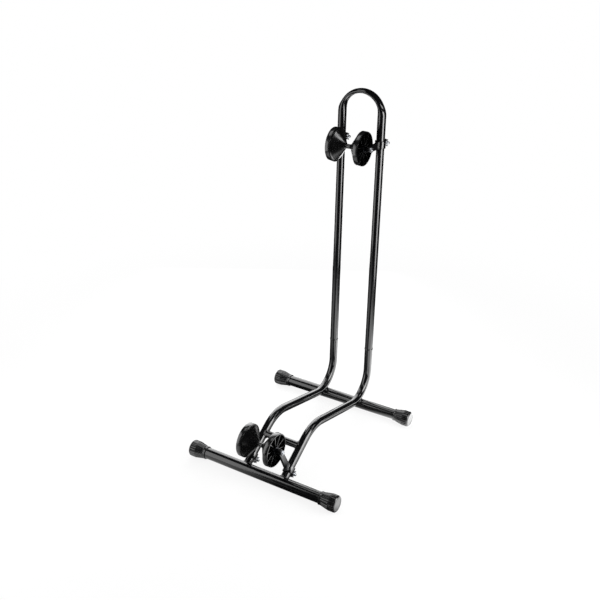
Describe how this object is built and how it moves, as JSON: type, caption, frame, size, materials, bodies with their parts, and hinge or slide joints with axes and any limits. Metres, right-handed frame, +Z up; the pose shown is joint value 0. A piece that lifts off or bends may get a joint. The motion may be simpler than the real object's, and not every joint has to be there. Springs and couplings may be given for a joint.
{
  "type": "floor bike rack",
  "caption": "Free-standing floor rack of bent tube that holds one bicycle by a wheel between grooved rollers on sliding clamps.",
  "frame": {"origin": "on the floor, below the middle of the rack's outline", "axes": "+Z up, +X along the cross tubes to the right, +Y from the lower roller to the upright hoop"},
  "size_m": [0.378, 0.483, 0.7753],
  "materials": {
    "tube_paint": "gloss black powder coat on steel tube",
    "clamp_paint": "gloss black paint on pressed steel",
    "cap_rubber": "matte moulded",
    "roller_plastic": "gloss moulded",
    "zinc": "bright zinc plating"
  },
  "bodies": {
    "frame": {"front_base_tube": "tube_paint", "end_cap_front_left": "cap_rubber", "end_cap_front_right": "cap_rubber", "rear_base_tube": "tube_paint", "end_cap_rear_left": "cap_rubber", "end_cap_rear_right": "cap_rubber", "lower_tube_left": "tube_paint", "joint_spigot_left": "tube_paint", "lower_tube_right": "tube_paint", "joint_spigot_right": "tube_paint", "cross_bar": "tube_paint", "upper_hoop": "tube_paint"},
    "upper_carriage": {"upper_clamp_left_inner": "clamp_paint", "upper_clamp_left_outer": "clamp_paint", "upper_clamp_bolt_left": "zinc", "upper_axle_nut_left": "zinc", "upper_washer_left": "zinc", "upper_spacer_left": "zinc", "upper_clamp_right_inner": "clamp_paint", "upper_clamp_right_outer": "clamp_paint", "upper_clamp_bolt_right": "zinc", "upper_axle_nut_right": "zinc", "upper_washer_right": "zinc", "upper_spacer_right": "zinc", "upper_axle": "zinc"},
    "upper_roller": {"upper_roller_left": "roller_plastic", "upper_roller_right": "roller_plastic"},
    "upper_wing_nut_left": {"upper_wing_nut_left": "zinc"},
    "upper_wing_nut_right": {"upper_wing_nut_right": "zinc"},
    "lower_carriage": {"lower_clamp_left_inner": "clamp_paint", "lower_clamp_left_outer": "clamp_paint", "lower_clamp_bolt_left": "zinc", "lower_axle_nut_left": "zinc", "lower_washer_left": "zinc", "lower_spacer_left": "zinc", "lower_clamp_right_inner": "clamp_paint", "lower_clamp_right_outer": "clamp_paint", "lower_clamp_bolt_right": "zinc", "lower_axle_nut_right": "zinc", "lower_washer_right": "zinc", "lower_spacer_right": "zinc", "lower_axle": "zinc"},
    "lower_roller": {"lower_roller_left": "roller_plastic", "lower_roller_right": "roller_plastic"},
    "lower_wing_nut_left": {"lower_wing_nut_left": "zinc"},
    "lower_wing_nut_right": {"lower_wing_nut_right": "zinc"}
  },
  "joints": [
    {"name": "upper_carriage_slide", "type": "slide", "parent": "frame", "child": "upper_carriage", "axis": [0, 0.0295, 0.9996], "range_m": [-0.49, 0.045]},
    {"name": "upper_roller_spin", "type": "hinge", "parent": "upper_carriage", "child": "upper_roller", "pos_m": [0, 0.16072, 0.66111], "axis": [1, 0, 0], "continuous": true},
    {"name": "upper_wing_nut_left_turn", "type": "hinge", "parent": "upper_carriage", "child": "upper_wing_nut_left", "pos_m": [-0.04855, 0.23549, 0.6589], "axis": [1, 0, 0], "range_deg": [0, 450]},
    {"name": "upper_wing_nut_right_turn", "type": "hinge", "parent": "upper_carriage", "child": "upper_wing_nut_right", "pos_m": [0.04855, 0.23549, 0.6589], "axis": [1, 0, 0], "range_deg": [0, 450]},
    {"name": "lower_carriage_slide", "type": "slide", "parent": "frame", "child": "lower_carriage", "axis": [0, 0.8568, 0.5156], "range_m": [-0.005, 0.038]},
    {"name": "lower_roller_spin", "type": "hinge", "parent": "lower_carriage", "child": "lower_roller", "pos_m": [0, -0.20374, 0.09867], "axis": [1, 0, 0], "continuous": true},
    {"name": "lower_wing_nut_left_turn", "type": "hinge", "parent": "lower_carriage", "child": "lower_wing_nut_left", "pos_m": [-0.04855, -0.15923, 0.01248], "axis": [1, 0, 0], "range_deg": [0, 450]},
    {"name": "lower_wing_nut_right_turn", "type": "hinge", "parent": "lower_carriage", "child": "lower_wing_nut_right", "pos_m": [0.04855, -0.15923, 0.01248], "axis": [1, 0, 0], "range_deg": [0, 450]}
  ]
}
